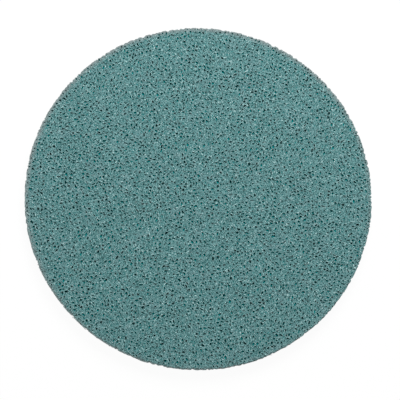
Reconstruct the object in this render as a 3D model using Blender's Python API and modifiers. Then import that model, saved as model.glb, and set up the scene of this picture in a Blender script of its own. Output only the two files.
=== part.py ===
"""Foam-backed sanding disc for a hook-and-loop pad.

The disc is a die-cut sandwich that lies flat with its abrasive side up. From the
bottom it is a brushed loop backing, a soft foam pad and a porous abrasive face.
Units are metres, +Z is up, and the origin is the centre of the underside.
"""

import math
import random

import bmesh
import bpy

# The disc, and its layers from the bottom up
DISC_DIAMETER = 0.150
LOOP_THICKNESS = 0.0010
FOAM_THICKNESS = 0.0032
FACE_THICKNESS = 0.0009
GLUE_LINE = 0.0003

# The cut edge of each layer
LOOP_EDGE_RADIUS = 0.0005
FOAM_WAIST_DEPTH = 0.0002
FACE_EDGE_RADIUS = 0.0003

# The larger open pores of the abrasive face. The scatter is a share of the pitch
PORE_PITCH = 0.0048
PORE_SCATTER = 0.3
PORE_RADII = (0.0005, 0.0007, 0.0009)
PORE_FLOOR = 0.0003
PLAIN_RIM_WIDTH = 0.0004
PORE_SEED = 7

# How finely the round shapes are divided, and the bevel profile that is a true arc
RIM_FACET_LENGTH = 0.0040
FOAM_WALL_STEPS = 6
EDGE_STEPS = 3
ARC_PROFILE = 0.5
NET_SIDES = 6

# Colours as linear red, green and blue, and how dull each finish is
FACE_COLOUR = (0.127, 0.258, 0.262)
FACE_ROUGHNESS = 0.85
FOAM_COLOUR = (0.290, 0.330, 0.330)
FOAM_ROUGHNESS = 0.9
LOOP_COLOUR = (0.320, 0.335, 0.335)
LOOP_ROUGHNESS = 0.95

# What follows from those sizes. Points closer than a small share of a facet are one point
DISC_RADIUS = DISC_DIAMETER / 2
RIM_SEGMENTS = round(math.pi * DISC_DIAMETER / RIM_FACET_LENGTH)
FOAM_BASE = LOOP_THICKNESS + GLUE_LINE
FACE_BASE = FOAM_BASE + FOAM_THICKNESS + GLUE_LINE
WELD_DISTANCE = RIM_FACET_LENGTH / 400
SHARP_ANGLE = math.radians(30)


def clear_scene():
    """Removes whatever the scene holds, so that the file makes only the disc."""
    for obj in list(bpy.data.objects):
        bpy.data.objects.remove(obj)


def new_collection(name):
    collection = bpy.data.collections.new(name)
    bpy.context.scene.collection.children.link(collection)
    return collection


def matt_material(name, colour, roughness):
    """A dull, non-metallic finish in one colour."""
    material = bpy.data.materials.new(name)
    material.use_nodes = True
    shader = material.node_tree.nodes["Principled BSDF"]
    shader.inputs["Base Color"].default_value = (*colour, 1)
    shader.inputs["Roughness"].default_value = roughness
    shader.inputs["Metallic"].default_value = 0
    return material


def place_layer(name, mesh, base_height, material, collection):
    """Makes a mesh that starts at height 0 into the layer that lies at base_height."""
    mesh.materials.append(material)
    mesh.shade_smooth()
    mesh.set_sharp_from_angle(angle=SHARP_ANGLE)
    layer = bpy.data.objects.new(name, mesh)
    layer.location.z = base_height
    collection.objects.link(layer)
    return layer


def turned_mesh(name, outer_wall, collection):
    """A round solid turned about Z. Its wall is a list of (radius, height), from the top down."""
    top = outer_wall[0][1]
    bottom = outer_wall[-1][1]
    outline = [(0, top), *outer_wall, (0, bottom)]
    profile = bpy.data.meshes.new(name + "_profile")
    profile.from_pydata(
        [(radius, 0, height) for radius, height in outline],
        [(i, i + 1) for i in range(len(outline) - 1)],
        [],
    )
    blank = bpy.data.objects.new(name + "_blank", profile)
    collection.objects.link(blank)
    screw = blank.modifiers.new("turn", "SCREW")
    screw.angle = math.tau
    screw.steps = RIM_SEGMENTS
    screw.render_steps = RIM_SEGMENTS
    screw.use_merge_vertices = True
    screw.merge_threshold = WELD_DISTANCE
    graph = bpy.context.evaluated_depsgraph_get()
    turned = bpy.data.meshes.new_from_object(blank.evaluated_get(graph))
    turned.name = name
    bpy.data.objects.remove(blank)
    return turned


def loop_backing(collection):
    """The fabric whose loops grip the hooks of a pad. Its soft pile rounds off the lower edge."""
    corner_radius = DISC_RADIUS - LOOP_EDGE_RADIUS
    wall = [(DISC_RADIUS, LOOP_THICKNESS)]
    for step in range(EDGE_STEPS + 1):
        angle = math.pi / 2 * step / EDGE_STEPS
        radius = corner_radius + LOOP_EDGE_RADIUS * math.cos(angle)
        wall.append((radius, LOOP_EDGE_RADIUS * (1 - math.sin(angle))))
    mesh = turned_mesh("loop_backing", wall, collection)
    material = matt_material("loop_fabric", LOOP_COLOUR, LOOP_ROUGHNESS)
    return place_layer("loop_backing", mesh, 0, material, collection)


def foam_pad(collection):
    """The soft foam. It springs back once the die has cut it, so its wall has a waist."""
    wall = []
    for step in range(FOAM_WALL_STEPS + 1):
        share = step / FOAM_WALL_STEPS
        waist = FOAM_WAIST_DEPTH * math.sin(math.pi * share)
        wall.append((DISC_RADIUS - waist, FOAM_THICKNESS * (1 - share)))
    mesh = turned_mesh("foam_pad", wall, collection)
    material = matt_material("grey_foam", FOAM_COLOUR, FOAM_ROUGHNESS)
    return place_layer("foam_pad", mesh, FOAM_BASE, material, collection)


def round_off(vertex):
    """Moves a vertex of a hexagonal net so that the hexagons round the middle become circles."""
    sector = math.tau / NET_SIDES
    angle = math.atan2(vertex.co.y, vertex.co.x)
    middle = round(angle / sector) * sector
    aside = angle - middle
    reach = math.hypot(vertex.co.x, vertex.co.y) * math.cos(aside) / math.cos(sector / 2)
    even_aside = math.tan(aside) / math.tan(sector / 2) * sector / 2
    vertex.co.x = reach * math.cos(middle + even_aside)
    vertex.co.y = reach * math.sin(middle + even_aside)


def round_net(bm, radius, pitch):
    """Adds a flat net of triangles whose vertices lie on even circles. It returns its vertices."""
    rings = round(radius / pitch)
    bmesh.ops.create_circle(bm, cap_ends=True, cap_tris=True, segments=NET_SIDES, radius=radius)
    bmesh.ops.subdivide_edges(bm, edges=bm.edges[:], cuts=rings - 1, use_grid_fill=True)
    for vertex in bm.verts:
        round_off(vertex)
    return bm.verts[:]


def open_pores(bm, centres, depth):
    """Opens a small pit at each centre, once the centre has been moved a little at random."""
    chance = random.Random(PORE_SEED)
    chosen = {radius: [] for radius in PORE_RADII}
    for vertex in centres:
        turn = chance.uniform(0, math.tau)
        shift = PORE_PITCH * PORE_SCATTER * math.sqrt(chance.random())
        vertex.co.x += shift * math.cos(turn)
        vertex.co.y += shift * math.sin(turn)
        chosen[chance.choice(PORE_RADII)].append(vertex)
    mouths = []
    for radius, vertices in chosen.items():
        mouths += bmesh.ops.bevel(
            bm, geom=vertices, offset=radius, offset_type="OFFSET", segments=1, profile=ARC_PROFILE,
            affect="VERTICES", clamp_overlap=True, material=-1,
        )["faces"]
    bottoms = bmesh.ops.poke(bm, faces=mouths)["verts"]
    bmesh.ops.translate(bm, verts=bottoms, vec=(0, 0, -depth))


def abrasive_face(collection):
    """The porous abrasive coat. Its pores are open at the top and closed below."""
    bm = bmesh.new()
    plain_rim = FACE_EDGE_RADIUS + PLAIN_RIM_WIDTH
    furthest_reach = max(PORE_RADII) + PORE_PITCH * PORE_SCATTER
    centres = round_net(bm, DISC_RADIUS - plain_rim - furthest_reach, PORE_PITCH)
    net_edge = [edge for edge in bm.edges if edge.is_boundary]
    rim = bmesh.ops.create_circle(bm, segments=RIM_SEGMENTS, radius=DISC_RADIUS)["verts"]
    rim_edges = list({edge for vertex in rim for edge in vertex.link_edges})
    bmesh.ops.triangle_fill(bm, edges=net_edge + rim_edges, use_beauty=True, normal=(0, 0, 1))
    open_pores(bm, centres, FACE_THICKNESS - PORE_FLOOR)

    rim_edges = [edge for edge in bm.edges if edge.is_boundary]
    lowered = bmesh.ops.extrude_edge_only(bm, edges=rim_edges)["geom"]
    lower_rim = [item for item in lowered if isinstance(item, bmesh.types.BMVert)]
    bmesh.ops.translate(bm, verts=lower_rim, vec=(0, 0, -FACE_THICKNESS))
    bmesh.ops.contextual_create(bm, geom=[edge for edge in bm.edges if edge.is_boundary])
    bmesh.ops.bevel(
        bm, geom=rim_edges, offset=FACE_EDGE_RADIUS, offset_type="OFFSET", segments=EDGE_STEPS,
        profile=ARC_PROFILE, affect="EDGES", clamp_overlap=True, material=-1,
    )
    bmesh.ops.recalc_face_normals(bm, faces=bm.faces[:])
    bmesh.ops.translate(bm, verts=bm.verts[:], vec=(0, 0, FACE_THICKNESS))
    mesh = bpy.data.meshes.new("abrasive_face")
    bm.to_mesh(mesh)
    bm.free()
    material = matt_material("abrasive_coat", FACE_COLOUR, FACE_ROUGHNESS)
    return place_layer("abrasive_face", mesh, FACE_BASE, material, collection)


def main():
    clear_scene()
    collection = new_collection("sanding_disc")
    loop_backing(collection)
    foam_pad(collection)
    abrasive_face(collection)


main()
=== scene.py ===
"""Dresses a foam-backed sanding disc: its porous face, cut foam, loop fabric and a plain studio."""

import math
import random

import bmesh
import bpy
from mathutils import Matrix, Quaternion, Vector, noise


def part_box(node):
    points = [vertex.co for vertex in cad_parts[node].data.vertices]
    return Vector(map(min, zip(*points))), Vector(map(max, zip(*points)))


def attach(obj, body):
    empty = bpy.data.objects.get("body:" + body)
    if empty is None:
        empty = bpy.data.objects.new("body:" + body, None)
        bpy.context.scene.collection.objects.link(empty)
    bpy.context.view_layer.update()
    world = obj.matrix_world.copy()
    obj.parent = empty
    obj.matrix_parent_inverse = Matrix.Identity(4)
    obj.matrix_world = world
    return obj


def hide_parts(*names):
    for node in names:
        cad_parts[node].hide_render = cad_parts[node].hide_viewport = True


bl_info = {
    "name": "Foam-Backed Sanding Disc",
    "version": (1, 0, 0),
    "blender": (4, 5, 0),
    "location": "View3D > Sidebar > Sanding Disc",
    "description": "Adds the layers of a die-cut sanding disc and a plain studio around them",
    "category": "Add Mesh",
}

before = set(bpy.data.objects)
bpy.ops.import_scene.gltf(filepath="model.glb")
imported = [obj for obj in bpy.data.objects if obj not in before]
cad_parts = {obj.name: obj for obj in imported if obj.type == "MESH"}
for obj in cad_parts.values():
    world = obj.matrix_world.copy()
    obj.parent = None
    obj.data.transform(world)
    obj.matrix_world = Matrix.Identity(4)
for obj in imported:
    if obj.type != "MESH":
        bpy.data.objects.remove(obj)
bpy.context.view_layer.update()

MM = 0.001

# Where each layer starts and ends. Neighbours meet in the middle of the glue line between them
COAT_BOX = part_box("abrasive_face")
FOAM_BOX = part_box("foam_pad")
LOOP_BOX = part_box("loop_backing")
DISC_RADIUS = COAT_BOX[1].x
COAT_TOP = COAT_BOX[1].z
COAT_BASE = (COAT_BOX[0].z + FOAM_BOX[1].z) / 2
FOAM_BASE = (FOAM_BOX[0].z + LOOP_BOX[1].z) / 2
LOOP_BASE = LOOP_BOX[0].z

# The bevel profile that is a true arc, and the corners of the net that the pores are set out on
ARC_PROFILE = 0.5
NET_SIDES = 6

# How far the cut has strayed sideways at the underside, as the die came down a little slanted
SLANT = Vector((-0.25, -0.08, 0)) * MM

# The waves of the cut edge, as (height, how many to a radius)
CUT_WAVES = ((0.11 * MM, 6), (0.10 * MM, 18), (0.24 * MM, 70))

# The small tears in it: how many to a radius, how steep, how deep, and from what noise they start
TEARS = 170
TEAR_SLOPE = 2.4 * MM
DEEPEST_TEAR = 0.5 * MM
TEAR_START = 0.05

# Each piece draws its chances from a seed of its own
COAT_SEED = 11
FOAM_SEED = 23
PILE_SEED = 5

# How many sizes of pore there are, and how many of them, from the largest, have a raised lip
PORE_SIZES = 7
LIPPED_SIZES = 5

# The net of pores has a plain band outside it. Slow waves push it about, and those along Y are
# read from the noise at a height of their own. Its rim is cut finer, and the coat's edge is round
PLAIN_BAND = 0.55 * MM
DRIFT = 1.1 * MM
DRIFT_WAVES = 70
DRIFT_ALONG_Y = Vector((0, 0, 20))
RIM_CUTS = 2
EDGE_STEPS = 3

# A mouth takes a share of the room up to its neighbours, and a corner a share of the ridge to them
MOUTH_SHARE = 0.94
RIDGE_SHARE = 0.47
RAGGEDNESS = (0.1, 0.9)

# How wide a pore's lip and its leaning wall are, as shares of its radius
LIP_SHARE = 0.2
WALL_SHARE = 0.1

# A slit's longest length in pitches, the room that it needs in widths, its lip and its wall
LONGEST_SLIT = 0.8
SLIT_ROOM = 1.3
SLIT_LIP = 0.06 * MM
SLIT_WALL = 0.03 * MM

# How many rises and falls the coat between the pores has to a metre
UNEVEN_WAVES = 600

# The marks on the coat, as (size, noise where they start, noise where they are full)
GRAINS = (0.36 * MM, 0.455, 0.545)
GLINTS = (0.42 * MM, 0.72, 0.76)
PATCHES = (6 * MM, 0.52, 0.68)
CLEAR_PORES = (2 * MM, 0.48, 0.63)
MOST_DUST = 0.12

# Between which values noise mostly lies, and the sizes of each material's relief and slow tones
NOISE_REACH = (0.3, 0.7)
COAT_RELIEF = 0.3 * MM
COAT_TONES = 9 * MM
FOAM_RELIEF = 0.22 * MM
FOAM_TONES = 4 * MM
YARN_RELIEF = 0.12 * MM
YARN_TONES = 5 * MM

# From what depth to what depth a pore takes its colour, which is partly its own and partly painted
# shade, and its bottom a deeper painted shade. The cut face of the coat, within these distances of
# its radius, isn't a pore
PORE_DEPTHS = (0.05 * MM, 0.16 * MM)
PIT_DEPTHS = (0.2 * MM, 0.5 * MM)
PIT_SHADE = 0.18
CUT_FACE = (0.6 * MM, 0.4 * MM)

# From what share of its height to what share a lip takes its painted highlight
LIP_SHARES = (0.1, 0.6)

# Painted light on the rounded rim, in grey. It grows along Y less a share of X, from one side to
# the other
RIM_LIGHT_WIDTH = 2.4 * MM
RIM_LIGHT_SLOPE = 0.55
RIM_LIGHT_REACH = (-0.69 * DISC_RADIUS, 0.57 * DISC_RADIUS)
RIM_LIGHT_AMOUNT = (0.12, 0.64)

# The open cells of the foam: their radii, how many sizes, how far they stray and how they narrow
CELL_RADII = (0.14 * MM, 0.32 * MM)
CELL_SIZES = 4
CELL_STRAY = 0.3
CELL_TAPER = 0.2
LEVEL_TOLERANCE = 0.01 * MM

# The knitted ground: the pitch of its net, its ribs, and the rings of its edge as (distance in
# from the cut, height above its own underside). The edge ends at the foam, a little in from the cut
GROUND_PITCH = 1.5 * MM
RIB_PITCH = 1.5 * MM
RIB_HEIGHT = 0.03 * MM
GROUND_EDGE = ((0.3 * MM, 0), (0.1 * MM, 0.08 * MM))
GROUND_TOP_INSET = 0.05 * MM

# The pile: its pieces, and how its loops are made and set out. Turns and leans are in radians
PILE_NAMES = ("pile_front", "pile_middle", "pile_back")
PILE_MARGIN = 0.3 * MM
LOOP_WIDTH = 1.0 * MM
YARN_SIDES = 3
LOOP_STEPS = 4
FEET_DEPTH = 0.05 * MM
STRAY_ALONG = 0.25
STRAY_ACROSS = 0.2
MOST_TURN = 0.6
MOST_LEAN = 0.7
LOOP_STRETCH = (0.8, 1.15)

# The lamps, as (place, width). Each faces the middle of the disc
KEY_LAMP = ((0.02, 0.47, 0.50), 0.4)
FILL_LAMP = ((-0.65, -0.15, 0.15), 0.4)
UNDER_LAMP = ((0, 0, -0.6), 0.5)
FILL_POWER = 1.5
UNDER_POWER = 4.5

# The paper floor, and how much of what the camera sees of it glows white and takes no shadow
FLOOR_REACH = 3
PAPER_COLOUR = (0.95, 0.95, 0.95)
PAPER_GLOW = 0.945
WHITE = (1, 1, 1)

# The camera, and how far it is shifted sideways and up from the middle of the disc
LENS = 200
SENSOR_WIDTH = 36
NEAR_CLIP = 0.01
CAMERA_SHIFT = Vector((0.51 * MM, -1.74 * MM, 0))


class CoatSettings(bpy.types.PropertyGroup):
    """Sizes and colours of the abrasive coat"""
    pore_pitch: bpy.props.FloatProperty(
        name="Pore Pitch", description="Mean distance between neighbouring pores",
        default=1.66 * MM, unit="LENGTH",
    )
    pore_scatter: bpy.props.FloatProperty(
        name="Pore Scatter", description="How far a pore strays from its place, in pitches",
        default=0.38, subtype="FACTOR", min=0, max=0.5,
    )
    slit_share: bpy.props.FloatProperty(
        name="Slit Share", description="Share of the pores that run into their neighbour",
        default=0.06, subtype="FACTOR", min=0, max=0.3,
    )
    slit_width: bpy.props.FloatProperty(
        name="Slit Width", description="Width of the slits", default=0.46 * MM, unit="LENGTH",
    )
    smallest_pore: bpy.props.FloatProperty(
        name="Smallest Pore", description="Radius of the smallest pores",
        default=0.22 * MM, unit="LENGTH",
    )
    largest_pore: bpy.props.FloatProperty(
        name="Largest Pore", description="Radius of the largest pores",
        default=0.59 * MM, unit="LENGTH",
    )
    pore_stretch: bpy.props.FloatProperty(
        name="Pore Stretch", description="How far the most drawn-out pores depart from round",
        default=1.4, subtype="FACTOR", min=0, max=2,
    )
    pore_depth: bpy.props.FloatProperty(
        name="Pore Depth", description="Depth of the larger pores",
        default=0.6 * MM, unit="LENGTH",
    )
    lip_height: bpy.props.FloatProperty(
        name="Lip Height", description="How far a pore's lip stands up",
        default=0.05 * MM, unit="LENGTH",
    )
    unevenness: bpy.props.FloatProperty(
        name="Unevenness", description="Rise and fall of the coat between pores",
        default=0.02 * MM, unit="LENGTH",
    )
    edge_radius: bpy.props.FloatProperty(
        name="Edge Radius", description="Radius of the coat's cut edge",
        default=0.2 * MM, unit="LENGTH",
    )
    resin_colour: bpy.props.FloatVectorProperty(
        name="Resin", description="Colour of the resin between the grains of grit",
        default=(0.006, 0.060, 0.062), subtype="COLOR",
    )
    grit_colour: bpy.props.FloatVectorProperty(
        name="Grit", description="Colour of the grit that stands out of the resin",
        default=(0.165, 0.338, 0.340), subtype="COLOR",
    )
    glint_colour: bpy.props.FloatVectorProperty(
        name="Glint", description="Colour of the few grains that catch the light",
        default=(0.42, 0.60, 0.60), subtype="COLOR",
    )
    # Painted highlight: the light that the raised lips of the pores catch
    lip_highlight_colour: bpy.props.FloatVectorProperty(
        name="Lip", description="Colour of the fine grit on a pore's lip",
        default=(0.350, 0.530, 0.530), subtype="COLOR",
    )
    # Painted light: the grey of the rounded rim where it catches the light
    rim_light_colour: bpy.props.FloatVectorProperty(
        name="Edge", description="Colour of the frayed cut edge",
        default=(0.28, 0.27, 0.27), subtype="COLOR",
    )
    dust_colour: bpy.props.FloatVectorProperty(
        name="Dust", description="Colour of the faint dusty patches",
        default=(0.185, 0.265, 0.290), subtype="COLOR",
    )
    # Partly the pores' own darker colour and partly painted shade
    pore_colour_and_shade: bpy.props.FloatVectorProperty(
        name="Pore", description="Colour inside the pores",
        default=(0.004, 0.212, 0.215), subtype="COLOR",
    )


class FoamSettings(bpy.types.PropertyGroup):
    """Sizes and colours of the foam pad"""
    cell_pitch: bpy.props.FloatProperty(
        name="Cell Pitch", description="Mean distance between open cells of the cut foam",
        default=0.72 * MM, unit="LENGTH",
    )
    cell_depth: bpy.props.FloatProperty(
        name="Cell Depth", description="Depth of an open cell", default=0.28 * MM, unit="LENGTH",
    )
    waist: bpy.props.FloatProperty(
        name="Waist", description="How far the cut wall draws in half way up",
        default=0.2 * MM, unit="LENGTH",
    )
    foam_colour: bpy.props.FloatVectorProperty(
        name="Foam", description="Colour of the foam",
        default=(0.31, 0.42, 0.42), subtype="COLOR",
    )
    # Painted shade in the hollows of the foam's relief
    cell_shade_colour: bpy.props.FloatVectorProperty(
        name="Cell", description="Colour inside the open cells",
        default=(0.16, 0.205, 0.205), subtype="COLOR",
    )


class LoopSettings(bpy.types.PropertyGroup):
    """Sizes and colours of the loop fabric"""
    cloth_thickness: bpy.props.FloatProperty(
        name="Cloth Thickness", description="Thickness of the knitted ground under the pile",
        default=0.35 * MM, unit="LENGTH",
    )
    loop_spacing: bpy.props.FloatProperty(
        name="Loop Spacing", description="Distance between neighbouring loops of the pile",
        default=1.08 * MM, unit="LENGTH",
    )
    yarn_radius: bpy.props.FloatProperty(
        name="Yarn Radius", description="Radius of one strand of a loop",
        default=0.07 * MM, unit="LENGTH",
    )
    cloth_colour: bpy.props.FloatVectorProperty(
        name="Cloth", description="Colour of the knitted ground",
        default=(0.21, 0.27, 0.27), subtype="COLOR",
    )
    yarn_colour: bpy.props.FloatVectorProperty(
        name="Yarn", description="Colour of the looped yarn",
        default=(0.28, 0.35, 0.35), subtype="COLOR",
    )


class StudioSettings(bpy.types.PropertyGroup):
    """Place of the camera and strength of the light"""
    elevation: bpy.props.FloatProperty(
        name="Elevation", description="Height of the camera above the plane of the disc",
        default=math.radians(78.9), subtype="ANGLE",
    )
    roll: bpy.props.FloatProperty(
        name="Roll", description="Turn of the camera about its own line of sight",
        default=math.radians(13.0), subtype="ANGLE",
    )
    distance: bpy.props.FloatProperty(
        name="Distance", description="From the camera to the face of the disc",
        default=0.9592, unit="LENGTH",
    )
    key_power: bpy.props.FloatProperty(
        name="Key Power", description="Power of the lamp above the far side of the disc",
        default=5.5, unit="POWER",
    )
    ambient: bpy.props.FloatProperty(
        name="Ambient", description="Strength of the even light from all round",
        default=0.36, min=0,
    )


def feed(tree, socket, value):
    """Links another node's output to a socket, or sets a plain value. Colours are opaque."""
    if isinstance(value, bpy.types.NodeSocket):
        tree.links.new(value, socket)
    elif socket.type == "RGBA":
        socket.default_value = (*value, 1)
    else:
        socket.default_value = value


def add_node(tree, kind, **sockets):
    """Adds a shader node. Each named socket gets a value, or a link from another node's output."""
    node = tree.nodes.new(kind)
    for name, value in sockets.items():
        feed(tree, node.inputs[name.replace("_", " ")], value)
    return node


def new_material(name, roughness, specular):
    """A non-metallic finish, and the node that shades it."""
    material = bpy.data.materials.new(name)
    material.use_nodes = True
    shader = material.node_tree.nodes["Principled BSDF"]
    shader.inputs["Roughness"].default_value = roughness
    shader.inputs["Specular IOR Level"].default_value = specular
    return material, shader


def object_noise(tree, size, detail=2.0, roughness=0.5):
    """Noise whose lumps are about as wide as the given size, fixed to the object."""
    place = add_node(tree, "ShaderNodeTexCoord").outputs["Object"]
    lumps = add_node(
        tree, "ShaderNodeTexNoise",
        Vector=place, Scale=1 / size, Detail=detail, Roughness=roughness,
    )
    return lumps.outputs["Fac"]


def spread(tree, value, low, high, new_low=0.0, new_high=1.0):
    """Maps low to high onto new_low to new_high, and holds beyond them."""
    scale = add_node(tree, "ShaderNodeMapRange", Value=value)
    for socket, number in zip(list(scale.inputs)[1:5], (low, high, new_low, new_high)):
        socket.default_value = number
    return scale.outputs["Result"]


def mixed(tree, share, first, second):
    """The first colour where the share is 0 and the second where it is 1."""
    node = tree.nodes.new("ShaderNodeMix")
    node.data_type = "RGBA"
    colours = [socket for socket in node.inputs if socket.type == "RGBA"]
    for socket, value in zip((node.inputs["Factor"], *colours), (share, first, second)):
        feed(tree, socket, value)
    return [socket for socket in node.outputs if socket.type == "RGBA"][0]


def mixed_shader(tree, share, first, second):
    """The first shader where the share is 0 and the second where it is 1."""
    node = tree.nodes.new("ShaderNodeMixShader")
    for socket, value in zip(node.inputs, (share, first, second)):
        tree.links.new(value, socket)
    return node.outputs["Shader"]


def combined(tree, operation, first, second):
    """Two numbers combined by a math operation."""
    node = tree.nodes.new("ShaderNodeMath")
    node.operation = operation
    for socket, value in zip(node.inputs, (first, second)):
        feed(tree, socket, value)
    return node.outputs["Value"]


def toned(tree, colour, value, low, high):
    """The colour made from low to high times as bright, as noise says."""
    tone = tree.nodes.new("ShaderNodeVectorMath")
    tone.operation = "SCALE"
    tree.links.new(colour, tone.inputs[0])
    tree.links.new(spread(tree, value, *NOISE_REACH, low, high), tone.inputs["Scale"])
    return tone.outputs["Vector"]


def place_of(tree):
    """The X, Y and Z of the shaded point, from the centre of the disc's underside."""
    place = add_node(tree, "ShaderNodeTexCoord")
    return add_node(tree, "ShaderNodeSeparateXYZ", Vector=place.outputs["Object"]).outputs


def reach_of(tree):
    """The distance of the shaded point from the disc's axis."""
    place = add_node(tree, "ShaderNodeTexCoord")
    flat = tree.nodes.new("ShaderNodeVectorMath")
    flat.operation = "MULTIPLY"
    tree.links.new(place.outputs["Object"], flat.inputs[0])
    flat.inputs[1].default_value = (1, 1, 0)
    reach = tree.nodes.new("ShaderNodeVectorMath")
    reach.operation = "LENGTH"
    tree.links.new(flat.outputs["Vector"], reach.inputs[0])
    return reach.outputs["Value"]


def bumped(tree, shader, height, distance, strength):
    """Gives the shader fine relief that geometry leaves out."""
    bump = add_node(tree, "ShaderNodeBump", Height=height, Distance=distance, Strength=strength)
    tree.links.new(bump.outputs["Normal"], shader.inputs["Normal"])


def marks(tree, kind, detail, roughness=0.5, most=1.0):
    """How strongly a kind of mark shows, from 0 to most. A kind is (size, noise at 0, at most)."""
    size, low, high = kind
    return spread(tree, object_noise(tree, size, detail, roughness), low, high, 0.0, most)


def below_top(tree, height, depths):
    """0 down to the first of two depths below the top of the coat, and 1 from the second on."""
    return spread(tree, height, COAT_TOP - depths[0], COAT_TOP - depths[1])


def painted_rim_light(tree, place, reach):
    """How strongly painted light greys the rounded rim, from 0 to 1."""
    across = combined(tree, "MULTIPLY", place["X"], RIM_LIGHT_SLOPE)
    rim_light = combined(tree, "SUBTRACT", place["Y"], across)
    rim_light = spread(tree, rim_light, *RIM_LIGHT_REACH, *RIM_LIGHT_AMOUNT)
    rim = spread(tree, reach, DISC_RADIUS - RIM_LIGHT_WIDTH, DISC_RADIUS)
    return combined(tree, "MULTIPLY", rim, rim_light)


def land_colour(tree, look, height, rim):
    """The coat between its pores: grit and glints in resin, painted highlights on the lips, dusty
    patches and painted light on the rim.
    """
    grains = marks(tree, GRAINS, detail=2.0, roughness=0.75)
    glints = marks(tree, GLINTS, detail=0.0)
    lit_lips = spread(tree, height, *(COAT_TOP + share * look.lip_height for share in LIP_SHARES))
    patches = marks(tree, PATCHES, detail=1.0, most=MOST_DUST)
    land = mixed(tree, grains, look.resin_colour, look.grit_colour)
    land = mixed(tree, glints, land, look.glint_colour)
    # Painted highlight on the raised lips of the pores
    land = mixed(tree, lit_lips, land, look.lip_highlight_colour)
    land = mixed(tree, patches, land, look.dust_colour)
    # Painted light on the rim, stronger towards one side
    land = mixed(tree, rim, land, look.rim_light_colour)
    return toned(tree, land, object_noise(tree, COAT_TONES, 1.0), low=0.985, high=1.015)


def pore_colour_and_shade(tree, look, height):
    """The inside of the pores: their own darker colour with painted shade in it. Those that aren't
    clogged with dust get a deeper painted shade at the bottom.
    """
    clear = marks(tree, CLEAR_PORES, detail=1.0)
    pit_shade = combined(tree, "MULTIPLY", below_top(tree, height, PIT_DEPTHS), clear)
    return mixed(tree, pit_shade, look.pore_colour_and_shade, tuple(PIT_SHADE * part for part in look.pore_colour_and_shade))


def coat_material(look):
    """Resin and grit: dark inside the pores, partly with painted shade, lighter on their lips with
    a painted highlight, and mottled between them.
    """
    material, shader = new_material("abrasive_coat", roughness=0.9, specular=0.04)
    tree = material.node_tree
    place = place_of(tree)
    height = place["Z"]
    reach = reach_of(tree)
    land = land_colour(tree, look, height, painted_rim_light(tree, place, reach))
    inside = spread(tree, reach, *(DISC_RADIUS - width for width in CUT_FACE), 1.0, 0.0)
    pores = combined(tree, "MULTIPLY", below_top(tree, height, PORE_DEPTHS), inside)
    # The pores take their colour with painted shade in it
    colour = mixed(tree, pores, land, pore_colour_and_shade(tree, look, height))
    tree.links.new(colour, shader.inputs["Base Color"])
    relief = object_noise(tree, COAT_RELIEF, 4.0)
    bumped(tree, shader, relief, distance=0.04 * MM, strength=0.6)
    return material


def foam_material(look):
    """Soft grey foam, with painted shade in the hollows of its bumped cells."""
    material, shader = new_material("grey_foam", roughness=0.92, specular=0.15)
    tree = material.node_tree
    cells = object_noise(tree, FOAM_RELIEF, 3.0)
    # Painted shade where the relief is low
    colour = mixed(tree, spread(tree, cells, 0.40, 0.52), look.cell_shade_colour, look.foam_colour)
    colour = toned(tree, colour, object_noise(tree, FOAM_TONES), low=0.93, high=1.07)
    tree.links.new(colour, shader.inputs["Base Color"])
    bumped(tree, shader, cells, distance=0.08 * MM, strength=0.8)
    return material


def yarn_material(name, colour):
    """Dull nylon yarn with the fine streaks of its filaments."""
    material, shader = new_material(name, roughness=0.8, specular=0.3)
    tree = material.node_tree
    shader.inputs["Sheen Weight"].default_value = 0.15
    streaks = object_noise(tree, YARN_RELIEF, 3.0)
    base = mixed(tree, streaks, tuple(0.86 * part for part in colour), colour)
    base = toned(tree, base, object_noise(tree, YARN_TONES), low=0.95, high=1.05)
    tree.links.new(base, shader.inputs["Base Color"])
    bumped(tree, shader, streaks, distance=0.02 * MM, strength=0.5)
    return material


def new_object(name, data):
    """Adds an object to the scene for a mesh, a lamp or a camera."""
    item = bpy.data.objects.new(name, data)
    bpy.context.scene.collection.objects.link(item)
    return item


def mesh_of(bm, name):
    """Makes a bmesh into a mesh, and frees it."""
    mesh = bpy.data.meshes.new(name)
    bm.to_mesh(mesh)
    bm.free()
    return mesh


def finish_piece(name, bm, material, replaced=None):
    """Makes a bmesh into a piece of the disc that rides on its only body."""
    mesh = mesh_of(bm, name)
    mesh.materials.append(material)
    piece = new_object(name, mesh)
    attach(piece, "root")
    if replaced:
        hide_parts(replaced)
    return piece


def open_edges(bm):
    """The edges round the openings of a mesh."""
    return [edge for edge in bm.edges if edge.is_boundary]


def round_net(bm, radius, pitch):
    """Adds a flat net of triangles with round, evenly divided rings, and gives its vertices."""
    rings = round(radius / pitch)
    bmesh.ops.create_circle(bm, cap_ends=True, cap_tris=True, segments=NET_SIDES, radius=radius)
    bmesh.ops.subdivide_edges(bm, edges=bm.edges[:], cuts=rings - 1, use_grid_fill=True)
    sector = math.tau / NET_SIDES
    for vertex in bm.verts:
        angle = math.atan2(vertex.co.y, vertex.co.x)
        middle = round(angle / sector) * sector
        aside = angle - middle
        reach = math.hypot(vertex.co.x, vertex.co.y) * math.cos(aside) / math.cos(sector / 2)
        even_aside = math.tan(aside) / math.tan(sector / 2) * sector / 2
        vertex.co.x = reach * math.cos(middle + even_aside)
        vertex.co.y = reach * math.sin(middle + even_aside)
    return bm.verts[:]


def cut_radius(angle):
    """The radius of the disc at an angle. The die wanders a little, and tears it in places."""
    along = Vector((math.cos(angle), math.sin(angle), 0))
    wander = sum(size * noise.noise(along * often) for size, often in CUT_WAVES)
    tear = TEAR_SLOPE * max(0, noise.noise(along * TEARS) - TEAR_START)
    return DISC_RADIUS + wander - min(tear, DEEPEST_TEAR)


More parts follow.
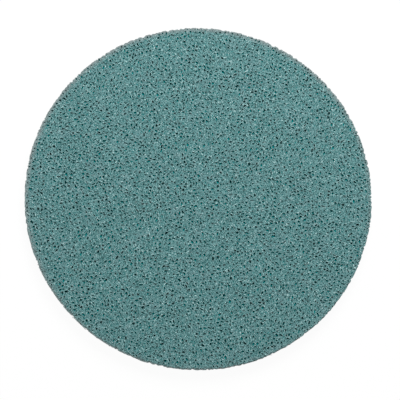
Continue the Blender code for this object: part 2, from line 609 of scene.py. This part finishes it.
def lower_rim(bm, rings):
    """Carries the open edge of bm through rings, each given as (distance in from the cut, height).

    The last ring is closed with a flat face.
    """
    for drawn_in, height in rings:
        moved = bmesh.ops.extrude_edge_only(bm, edges=open_edges(bm))["geom"]
        for vertex in [item for item in moved if isinstance(item, bmesh.types.BMVert)]:
            angle = math.atan2(vertex.co.y, vertex.co.x)
            radius = cut_radius(angle) - drawn_in
            vertex.co = (radius * math.cos(angle), radius * math.sin(angle), height)
    bmesh.ops.contextual_create(bm, geom=open_edges(bm))


def rounded_edge(radius, base):
    """The rings of an edge that rounds off from height 0, and then falls straight to its base."""
    rings = []
    for step in range(EDGE_STEPS + 1):
        angle = math.pi / 2 * step / EDGE_STEPS
        rings.append((radius * (1 - math.sin(angle)), -radius * (1 - math.cos(angle))))
    return [*rings, (0, base)]


def radii_between(smallest, largest, count):
    """Radii from the largest to the smallest, each in the same ratio to the next."""
    return [largest * (smallest / largest) ** (step / (count - 1)) for step in range(count)]


def by_place(item):
    """A key that sorts edges or faces by where they lie.

    Some operators return them in a new order in each run, and random draws need a fixed one.
    """
    return sorted(corner.co[:] for corner in item.verts)


def drift(vertices):
    """Pushes vertices about in slow waves, so that they lie closer together in some places."""
    for vertex in vertices:
        spot = vertex.co * DRIFT_WAVES
        vertex.co.x += DRIFT * noise.noise(spot)
        vertex.co.y += DRIFT * noise.noise(spot + DRIFT_ALONG_Y)


def scatter(vertices, reach, chance):
    """Moves each vertex to a random place no further away than the given reach."""
    for vertex in vertices:
        turn = chance.uniform(0, math.tau)
        shift = reach * math.sqrt(chance.random())
        vertex.co.x += shift * math.cos(turn)
        vertex.co.y += shift * math.sin(turn)


def pore_centres(bm, look, chance):
    """Adds a net whose vertices lie at random, and gives those that pores can open at."""
    furthest = DISC_RADIUS - look.edge_radius - PLAIN_BAND
    net = round_net(bm, furthest, look.pore_pitch)
    drift(net)
    scatter(net, look.pore_scatter * look.pore_pitch, chance)
    for vertex in net:
        vertex.co *= min(1, furthest / max(vertex.co.length, MM))
    finer = bmesh.ops.subdivide_edges(bm, edges=open_edges(bm), cuts=RIM_CUTS)
    added = set(finer["geom_inner"])
    return [vertex for vertex in bm.verts if vertex not in added]


def pick_slits(centres, share, longest, room, chance):
    """Picks short edges between centres, apart from each other, that can open as slits.

    It gives those edges, and the centres that they take up.
    """
    inner = set(centres)
    edges = {edge for vertex in centres for edge in vertex.link_edges}
    slits, taken = [], set()
    for edge in chance.sample(sorted(edges, key=by_place), len(edges)):
        near = {item for end in edge.verts for item in end.link_edges} - {edge}
        roomy = edge.calc_length() < longest and min(item.calc_length() for item in near) > room
        touched = {vertex for item in near for vertex in item.verts}
        if roomy and inner.issuperset(edge.verts) and taken.isdisjoint(touched):
            slits.append(edge)
            taken.update(edge.verts)
        if len(slits) > share * len(centres):
            break
    return slits, taken


def open_mouths(bm, centres, radii, chance):
    """Cuts a many-sided mouth at each centre, no wider than its neighbours leave room for."""
    chosen = {radius: [] for radius in radii}
    taken = dict.fromkeys(centres, radii[-1])
    for vertex in chance.sample(centres, len(centres)):
        rooms = [
            edge.calc_length() - taken.get(edge.other_vert(vertex), 0) for edge in vertex.link_edges
        ]
        wanted = chance.uniform(radii[-1], radii[0])
        widest = min(MOUTH_SHARE * min(rooms), wanted)
        fitting = [radius for radius in radii if radius <= widest]
        taken[vertex] = 0
        if fitting:
            chosen[fitting[0]].append(vertex)
            taken[vertex] = fitting[0]
    mouths = {}
    for radius, vertices in chosen.items():
        mouths[radius] = bmesh.ops.bevel(
            bm, geom=vertices, offset=radius, offset_type="OFFSET", segments=1,
            profile=ARC_PROFILE, affect="VERTICES", clamp_overlap=False, material=-1,
        )["faces"]
    return mouths


def ragged_moves(face, radius, most_stretch, chance):
    """How the corners of a mouth move out, so that it is ragged and drawn out along one heading."""
    moves = []
    centre = face.calc_center_median()
    turn = chance.uniform(0, math.tau)
    heading = Vector((math.cos(turn), math.sin(turn), 0))
    stretch = chance.uniform(0, most_stretch)
    for corner in sorted(face.verts, key=lambda item: item.co[:]):
        ridge = [edge for edge in corner.link_edges if face not in edge.link_faces]
        room = min([edge.calc_length() for edge in ridge], default=0)
        outwards = (corner.co - centre).normalized()
        along = outwards.dot(heading) ** 2
        drawn = 1.5 * along - 0.5    # 1 along the heading, and half as far inwards across it
        move = radius * (chance.uniform(*RAGGEDNESS) + stretch * drawn)
        moves.append((corner, outwards * min(move, RIDGE_SHARE * room)))
    return moves


def inset(bm, faces, thickness, depth):
    """Draws each face in on its own, and moves it along its normal by the depth."""
    bmesh.ops.inset_individual(
        bm, faces=faces, thickness=thickness, depth=depth, use_even_offset=False,
    )


class DISC_OT_abrasive_coat(bpy.types.Operator):
    """Add the porous abrasive coat"""
    bl_idname = "sanding_disc.abrasive_coat"
    bl_label = "Abrasive Coat"

    def sink_pores(self, bm, look, mouths, lipped):
        """Gives the larger mouths a lip and a flat bottom, and makes the smaller ones cones."""
        for radius, faces in mouths.items():
            if radius in lipped:
                inset(bm, faces, LIP_SHARE * radius, look.lip_height)
                inset(bm, faces, WALL_SHARE * radius, -look.pore_depth)
            else:
                bottoms = bmesh.ops.poke(bm, faces=faces)["verts"]
                bmesh.ops.translate(bm, verts=bottoms, vec=(0, 0, -look.pore_depth / 2))

    def sink_slits(self, bm, look, faces):
        """Gives the slits a lip and a flat bottom."""
        for thickness, depth in ((SLIT_LIP, look.lip_height), (SLIT_WALL, -look.pore_depth)):
            bmesh.ops.inset_region(
                bm, faces=faces, thickness=thickness, depth=depth, use_even_offset=False,
            )

    def execute(self, context):
        look = context.scene.disc_coat
        chance = random.Random(COAT_SEED)
        radii = radii_between(look.smallest_pore, look.largest_pore, PORE_SIZES)
        bm = bmesh.new()
        centres = pore_centres(bm, look, chance)
        lower_rim(bm, rounded_edge(look.edge_radius, COAT_BASE - COAT_TOP))

        slits, ends = pick_slits(
            centres, look.slit_share, LONGEST_SLIT * look.pore_pitch,
            SLIT_ROOM * look.slit_width, chance,
        )
        slit_faces = bmesh.ops.bevel(
            bm, geom=slits, offset=look.slit_width / 2, offset_type="ABSOLUTE", segments=1,
            profile=ARC_PROFILE, affect="EDGES", clamp_overlap=False, material=-1,
        )["faces"]
        centres = [vertex for vertex in centres if vertex not in ends]
        mouths = open_mouths(bm, centres, radii, chance)
        moves = []
        for radius, faces in mouths.items():
            for face in sorted(faces, key=by_place):
                moves += ragged_moves(face, radius, look.pore_stretch, chance)
        for corner, move in moves:
            corner.co += move
        self.sink_pores(bm, look, mouths, radii[:LIPPED_SIZES])
        self.sink_slits(bm, look, slit_faces)

        # The coat is uneven between the pores. Their walls and bottoms lie deeper, and stay
        for vertex in bm.verts:
            if vertex.co.z > -look.pore_depth / 4:
                vertex.co.z += look.unevenness * noise.noise(vertex.co * UNEVEN_WAVES)
        bmesh.ops.recalc_face_normals(bm, faces=bm.faces[:])
        bmesh.ops.translate(bm, verts=bm.verts[:], vec=(0, 0, COAT_TOP))
        finish_piece("porous_coat", bm, coat_material(look), "abrasive_face")
        return {"FINISHED"}


class DISC_OT_foam_pad(bpy.types.Operator):
    """Add the soft foam pad with its cut, open-celled wall"""
    bl_idname = "sanding_disc.foam_pad"
    bl_label = "Foam Pad"

    def add_wall(self, bm, rows, columns):
        """A straight round wall of square faces, from the coat down to the fabric."""
        bmesh.ops.create_circle(bm, segments=columns, radius=DISC_RADIUS)
        bmesh.ops.translate(bm, verts=bm.verts[:], vec=(0, 0, COAT_BASE))
        edge = bm.edges[:]
        for _ in range(rows):
            wall = bmesh.ops.extrude_edge_only(bm, edges=edge)["geom"]
            edges = [item for item in wall if isinstance(item, bmesh.types.BMEdge)]
            edge = [item for item in edges if item.is_boundary]
            lower = [item for item in wall if isinstance(item, bmesh.types.BMVert)]
            bmesh.ops.translate(bm, verts=lower, vec=(0, 0, (FOAM_BASE - COAT_BASE) / rows))
        bmesh.ops.recalc_face_normals(bm, faces=bm.faces[:])

    def shape_wall(self, bm, look, chance):
        """Moves the wall to the slanted, ragged cut with its waist, and scatters its cells."""
        for vertex in bm.verts:
            angle = math.atan2(vertex.co.y, vertex.co.x)
            if not vertex.is_boundary:
                stray = chance.uniform(-CELL_STRAY, CELL_STRAY)
                angle += stray * look.cell_pitch / DISC_RADIUS
                vertex.co.z += chance.uniform(-CELL_STRAY, CELL_STRAY) * look.cell_pitch
            share = (vertex.co.z - FOAM_BASE) / (COAT_BASE - FOAM_BASE)
            radius = cut_radius(angle) - look.waist * math.sin(math.pi * share)
            vertex.co.x = radius * math.cos(angle) + (1 - share) * SLANT.x
            vertex.co.y = radius * math.sin(angle) + (1 - share) * SLANT.y

    def execute(self, context):
        look = context.scene.disc_foam
        chance = random.Random(FOAM_SEED)
        rows = round((COAT_BASE - FOAM_BASE) / look.cell_pitch)
        columns = round(math.tau * DISC_RADIUS / look.cell_pitch)
        bm = bmesh.new()
        self.add_wall(bm, rows, columns)
        inner = [vertex for vertex in bm.verts if not vertex.is_boundary]
        self.shape_wall(bm, look, chance)
        bmesh.ops.triangulate(bm, faces=bm.faces[:], quad_method="ALTERNATE")
        mouths = open_mouths(bm, inner, radii_between(*CELL_RADII, CELL_SIZES), chance)
        for radius, faces in mouths.items():
            inset(bm, faces, CELL_TAPER * radius, -look.cell_depth)
        for height in (COAT_BASE, FOAM_BASE):
            level = [
                edge for edge in open_edges(bm)
                if abs(edge.verts[0].co.z - height) < LEVEL_TOLERANCE
            ]
            bmesh.ops.contextual_create(bm, geom=level)
        bmesh.ops.recalc_face_normals(bm, faces=bm.faces[:])
        piece = finish_piece("cut_foam", bm, foam_material(look), "foam_pad")
        return {"FINISHED"}


def pile_places(spacing, chance):
    """Where each loop of the pile stands: in staggered rows, each leaning and turned a little."""
    places = []
    reach = DISC_RADIUS - PILE_MARGIN
    row_height = spacing * math.sqrt(3) / 2
    rows = int(reach / row_height)
    columns = int(reach / spacing) + 1
    for row in range(-rows, rows + 1):
        for column in range(-columns, columns + 1):
            x = (column + 0.5 * (row % 2)) * spacing
            x += chance.uniform(-STRAY_ALONG, STRAY_ALONG) * spacing
            y = row * row_height + chance.uniform(-STRAY_ACROSS, STRAY_ACROSS) * spacing
            if math.hypot(x, y) < reach:
                turn = Matrix.Rotation(chance.uniform(-MOST_TURN, MOST_TURN), 4, "Z")
                lean = Matrix.Rotation(chance.uniform(-MOST_LEAN, MOST_LEAN), 4, "X")
                width = chance.uniform(*LOOP_STRETCH)
                places.append((x, y, turn @ lean @ Matrix.Diagonal((width, width, 1, 1))))
    return places


class DISC_OT_loop_backing(bpy.types.Operator):
    """Add the loop fabric: a knitted ground and the looped pile under it"""
    bl_idname = "sanding_disc.loop_backing"
    bl_label = "Loop Backing"

    def add_cloth(self, look):
        """The knitted ground, a thin ribbed sheet that is cut with the foam above it."""
        bm = bmesh.new()
        round_net(bm, DISC_RADIUS - GROUND_PITCH, GROUND_PITCH)
        under = FOAM_BASE - look.cloth_thickness
        for vertex in bm.verts:
            rib = math.sin(math.tau * vertex.co.x / RIB_PITCH) * RIB_HEIGHT
            vertex.co.z = under + rib
        edge = [(drawn_in, under + rise) for drawn_in, rise in GROUND_EDGE]
        lower_rim(bm, [*edge, (GROUND_TOP_INSET, FOAM_BASE)])
        bmesh.ops.recalc_face_normals(bm, faces=bm.faces[:])
        bmesh.ops.translate(bm, verts=bm.verts[:], vec=SLANT)
        material = yarn_material("knitted_ground", look.cloth_colour)
        finish_piece("knitted_ground", bm, material, "loop_backing")

    def one_loop(self, look, width, height):
        """A half ring of yarn that hangs from its two feet at height 0, closed at both ends."""
        bm = bmesh.new()
        bmesh.ops.create_circle(bm, segments=YARN_SIDES, radius=look.yarn_radius)
        bmesh.ops.translate(bm, verts=bm.verts[:], vec=(width / 2, 0, 0))
        bmesh.ops.spin(
            bm, geom=bm.verts[:] + bm.edges[:], cent=(0, 0, 0), axis=(0, 1, 0), angle=math.pi,
            steps=LOOP_STEPS,
        )
        bmesh.ops.holes_fill(bm, edges=open_edges(bm), sides=YARN_SIDES)
        bmesh.ops.recalc_face_normals(bm, faces=bm.faces[:])
        bmesh.ops.scale(bm, verts=bm.verts[:], vec=(1, 1, height / (width / 2)))
        return mesh_of(bm, "one_loop")

    def execute(self, context):
        look = context.scene.disc_loops
        self.add_cloth(look)
        chance = random.Random(PILE_SEED)
        feet = FOAM_BASE - look.cloth_thickness + FEET_DEPTH
        loop = self.one_loop(look, LOOP_WIDTH, feet - LOOP_BASE - look.yarn_radius)
        material = yarn_material("looped_yarn", look.yarn_colour)
        places = pile_places(look.loop_spacing, chance)
        share = math.ceil(len(places) / len(PILE_NAMES))
        for number, name in enumerate(PILE_NAMES):
            bm = bmesh.new()
            for x, y, shape in places[number * share:(number + 1) * share]:
                place = Matrix.Translation(SLANT + Vector((x, y, feet))) @ shape
                loop.transform(place)
                bm.from_mesh(loop)
                loop.transform(place.inverted())
            finish_piece(name, bm, material)
        bpy.data.meshes.remove(loop)
        return {"FINISHED"}


class DISC_OT_studio(bpy.types.Operator):
    """Add a white floor, soft lamps and the camera"""
    bl_idname = "sanding_disc.studio"
    bl_label = "Studio"

    def seen_directly(self, tree):
        """1 for rays that come from the camera, or from it by way of gloss or glass."""
        path = add_node(tree, "ShaderNodeLightPath")
        total = path.outputs["Is Camera Ray"]
        for name in ("Is Glossy Ray", "Is Transmission Ray"):
            total = combined(tree, "MAXIMUM", total, path.outputs[name])
        return total

    def paper_material(self):
        """White paper that glows where the camera sees it, and is clear from below."""
        material = bpy.data.materials.new("white_paper")
        material.use_nodes = True
        tree = material.node_tree
        tree.nodes.remove(tree.nodes["Principled BSDF"])
        paper = add_node(tree, "ShaderNodeBsdfDiffuse", Color=PAPER_COLOUR).outputs[0]
        white = add_node(tree, "ShaderNodeEmission", Strength=1.0).outputs[0]
        clear = add_node(tree, "ShaderNodeBsdfTransparent").outputs[0]
        glow = combined(tree, "MULTIPLY", self.seen_directly(tree), PAPER_GLOW)
        top = mixed_shader(tree, glow, paper, white)
        below = add_node(tree, "ShaderNodeNewGeometry").outputs["Backfacing"]
        both = mixed_shader(tree, below, top, clear)
        tree.links.new(both, tree.nodes["Material Output"].inputs["Surface"])
        return material

    def add_floor(self):
        """A paper floor that shows a trace of the shadow on it."""
        bm = bmesh.new()
        bmesh.ops.create_grid(bm, x_segments=1, y_segments=1, size=FLOOR_REACH)
        bmesh.ops.translate(bm, verts=bm.verts[:], vec=(0, 0, LOOP_BASE))
        mesh = mesh_of(bm, "floor")
        mesh.materials.append(self.paper_material())
        floor = new_object("floor", mesh)
        floor.visible_shadow = False

    def add_world(self, ambient):
        """An even light from all round. The camera sees it as plain white."""
        world = bpy.data.worlds.new("white_room")
        bpy.context.scene.world = world
        world.use_nodes = True
        tree = world.node_tree
        room = tree.nodes["Background"]
        feed(tree, room.inputs["Color"], WHITE)
        feed(tree, room.inputs["Strength"], ambient)
        white = add_node(tree, "ShaderNodeBackground", Color=WHITE, Strength=1.0)
        choice = mixed_shader(tree, self.seen_directly(tree), room.outputs[0], white.outputs[0])
        tree.links.new(choice, tree.nodes["World Output"].inputs["Surface"])

    def add_lamp(self, name, place, width, power):
        """A square lamp that faces the middle of the disc."""
        lamp = bpy.data.lights.new(name, "AREA")
        lamp.size = width
        lamp.energy = power
        holder = new_object(name, lamp)
        holder.location = place
        holder.rotation_mode = "QUATERNION"
        holder.rotation_quaternion = (-Vector(place)).to_track_quat("-Z", "Y")

    def add_camera(self, look):
        """A long lens that looks down on the disc from in front, as in the photograph."""
        camera = bpy.data.cameras.new("camera")
        camera.lens = LENS
        camera.sensor_width = SENSOR_WIDTH
        camera.clip_start = NEAR_CLIP
        holder = new_object("camera", camera)
        bpy.context.scene.camera = holder
        back = Vector((0, -math.cos(look.elevation), math.sin(look.elevation)))
        turn = (-back).to_track_quat("-Z", "Y") @ Quaternion((0, 0, 1), look.roll)
        holder.rotation_mode = "QUATERNION"
        holder.rotation_quaternion = turn
        holder.location = Vector((0, 0, COAT_TOP)) + back * look.distance + turn @ CAMERA_SHIFT

    def execute(self, context):
        look = context.scene.disc_studio
        self.add_floor()
        self.add_world(look.ambient)
        self.add_lamp("key_lamp", *KEY_LAMP, look.key_power)
        self.add_lamp("fill_lamp", *FILL_LAMP, FILL_POWER)
        self.add_lamp("under_lamp", *UNDER_LAMP, UNDER_POWER)
        self.add_camera(look)
        context.scene.view_settings.view_transform = "Standard"
        return {"FINISHED"}


class DISC_PT_panel(bpy.types.Panel):
    """Lists the sizes and colours of the disc, and the steps that build it"""
    bl_label = "Sanding Disc"
    bl_idname = "DISC_PT_panel"
    bl_space_type = "VIEW_3D"
    bl_region_type = "UI"
    bl_category = "Sanding Disc"

    def draw(self, context):
        scene = context.scene
        groups = (
            (scene.disc_coat, DISC_OT_abrasive_coat),
            (scene.disc_foam, DISC_OT_foam_pad),
            (scene.disc_loops, DISC_OT_loop_backing),
            (scene.disc_studio, DISC_OT_studio),
        )
        for settings, operator in groups:
            box = self.layout.box()
            for name in settings.__annotations__:
                box.prop(settings, name)
            box.operator(operator.bl_idname)


SETTINGS = {
    "disc_coat": CoatSettings,
    "disc_foam": FoamSettings,
    "disc_loops": LoopSettings,
    "disc_studio": StudioSettings,
}
CLASSES = (
    *SETTINGS.values(),
    DISC_OT_abrasive_coat,
    DISC_OT_foam_pad,
    DISC_OT_loop_backing,
    DISC_OT_studio,
    DISC_PT_panel,
)


def register():
    for item in CLASSES:
        bpy.utils.register_class(item)
    for name, group in SETTINGS.items():
        setattr(bpy.types.Scene, name, bpy.props.PointerProperty(type=group))


def unregister():
    for name in SETTINGS:
        delattr(bpy.types.Scene, name)
    for item in reversed(CLASSES):
        bpy.utils.unregister_class(item)


def main():
    register()
    bpy.ops.sanding_disc.abrasive_coat()
    bpy.ops.sanding_disc.foam_pad()
    bpy.ops.sanding_disc.loop_backing()
    bpy.ops.sanding_disc.studio()


if __name__ == "__main__":
    main()
